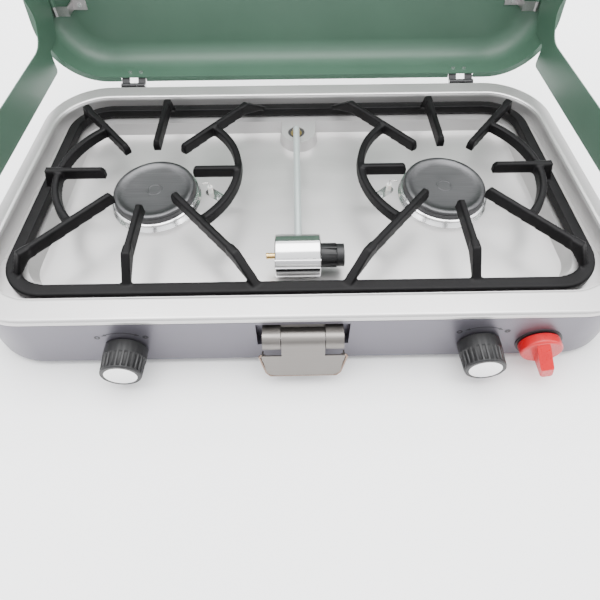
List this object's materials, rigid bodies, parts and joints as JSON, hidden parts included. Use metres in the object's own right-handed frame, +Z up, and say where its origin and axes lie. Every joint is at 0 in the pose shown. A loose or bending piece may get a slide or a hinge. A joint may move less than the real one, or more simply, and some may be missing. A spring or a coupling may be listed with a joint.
{
  "type": "camping stove",
  "caption": "Portable gas camping stove: flat case with twin burners, cast grate, knobs, igniter, latch, regulator, and a hinged lid with folding windscreens",
  "frame": {"origin": "on the ground under the middle of the stove's bounding box, lid open", "axes": "+X to the cook's right along the case, -Y towards the cook, +Z up"},
  "size_m": [0.63, 0.4638, 0.4173],
  "materials": {
    "case_paint": "satin silver-grey paint",
    "pan_steel": "brushed stainless steel",
    "grate_iron": "satin black enamel on cast iron",
    "burner_metal": "turned aluminium",
    "cap_metal": "dark turned steel",
    "lid_paint": "satin sage green paint",
    "hinge_metal": "black painted steel",
    "bright_steel": "plain bright steel",
    "latch_steel": "brushed stainless steel",
    "bail_wire": "warm-toned spring wire",
    "knob_plastic": "matte black plastic",
    "disc_steel": "spun steel disc",
    "igniter_plastic": "red plastic",
    "bezel_plastic": "black plastic",
    "ceramic": "glazed white ceramic",
    "brass": "machined brass",
    "rubber": "black rubber",
    "regulator_metal": "satin turned aluminium",
    "tube_steel": "drawn steel tube",
    "cap_plastic": "ribbed black plastic"
  },
  "bodies": {
    "base": {"base_case": "case_paint", "base_leaf_rivets": "bright_steel", "burner_base_ring_left": "burner_metal", "burner_base_ring_right": "burner_metal", "burner_body_left": "burner_metal", "burner_body_right": "burner_metal", "burner_cap_left": "cap_metal", "burner_cap_right": "cap_metal", "burner_port_ring_left": "burner_metal", "burner_port_ring_right": "burner_metal", "cooktop_pan": "pan_steel", "electrode_brackets": "bright_steel", "electrode_insulators": "ceramic", "electrode_wires": "bright_steel", "foot_screws": "bright_steel", "gas_jets": "brass", "gas_manifold": "brass", "gas_valve_left": "brass", "gas_valve_right": "brass", "hinge_base_leaves": "hinge_metal", "hinge_pins": "bright_steel", "igniter_bezel": "bezel_plastic", "ignition_leads": "rubber", "inlet_elbow": "brass", "inlet_o_ring": "rubber", "latch_bracket": "latch_steel", "latch_pin": "bright_steel", "pan_screws": "bright_steel", "piezo_igniter": "knob_plastic", "rubber_feet": "rubber", "supply_pipe": "brass"},
    "grate": {"grate_frame": "grate_iron", "grate_inner_supports_left": "grate_iron", "grate_inner_supports_right": "grate_iron", "grate_outer_supports_left": "grate_iron", "grate_outer_supports_right": "grate_iron"},
    "lid": {"lid_shell": "lid_paint", "hinge_lid_leaves": "hinge_metal", "lid_rivets": "bright_steel", "screen_rods": "bright_steel", "screen_clips_left": "latch_steel", "screen_clips_right": "latch_steel"},
    "left_windscreen": {"windscreen_left": "lid_paint"},
    "right_windscreen": {"windscreen_right": "lid_paint"},
    "left_knob": {"knob_left": "knob_plastic", "knob_disc_left": "disc_steel", "valve_stem_left": "brass"},
    "right_knob": {"knob_right": "knob_plastic", "knob_disc_right": "disc_steel", "valve_stem_right": "brass"},
    "igniter": {"igniter_knob": "igniter_plastic", "igniter_stem": "bright_steel"},
    "latch": {"latch_plate": "latch_steel"},
    "bail": {"latch_bail": "bail_wire"},
    "regulator": {"regulator_body": "regulator_metal", "regulator_tube": "tube_steel", "regulator_inlet_pin": "brass", "regulator_dust_cap": "cap_plastic", "swivel_ball": "brass"}
  },
  "joints": [
    {"name": "lid_hinge", "type": "hinge", "parent": "base", "child": "lid", "pos_m": [0, 0.13391, 0.072], "axis": [-1, 0, 0], "range_deg": [-97.5, 0]},
    {"name": "left_windscreen_fold", "type": "hinge", "parent": "lid", "child": "left_windscreen", "pos_m": [-0.2972, 0.18291, 0.154], "axis": [0, 0, -1], "range_deg": [-88, 0]},
    {"name": "right_windscreen_fold", "type": "hinge", "parent": "lid", "child": "right_windscreen", "pos_m": [0.2972, 0.18291, 0.154], "axis": [0, 0, 1], "range_deg": [-88, 0]},
    {"name": "left_knob_turn", "type": "hinge", "parent": "base", "child": "left_knob", "pos_m": [-0.154, -0.20709, 0.0305], "axis": [0, 1, 0], "range_deg": [0, 240]},
    {"name": "right_knob_turn", "type": "hinge", "parent": "base", "child": "right_knob", "pos_m": [0.154, -0.20709, 0.0305], "axis": [0, 1, 0], "range_deg": [0, 240]},
    {"name": "igniter_turn", "type": "hinge", "parent": "base", "child": "igniter", "pos_m": [0.207, -0.20709, 0.0305], "axis": [0, 1, 0], "range_deg": [0, 80], "stiffness_Nm_per_rad": 0.05},
    {"name": "latch_swing", "type": "hinge", "parent": "base", "child": "latch", "pos_m": [0, -0.21059, 0.0515], "axis": [-1, 0, 0], "range_deg": [0, 100]},
    {"name": "bail_swing", "type": "hinge", "parent": "latch", "child": "bail", "pos_m": [0, -0.21938, 0.03803], "axis": [-1, 0, 0], "range_deg": [0, 100]},
    {"name": "regulator_tilt", "type": "hinge", "parent": "base", "child": "regulator", "pos_m": [-0.0027, 0.05591, 0.0585], "axis": [-1, 0, 0], "range_deg": [0, 70]},
    {"name": "grate_lift", "type": "slide", "parent": "base", "child": "grate", "axis": [0, 0, 1], "range_m": [0, 0.06]}
  ]
}
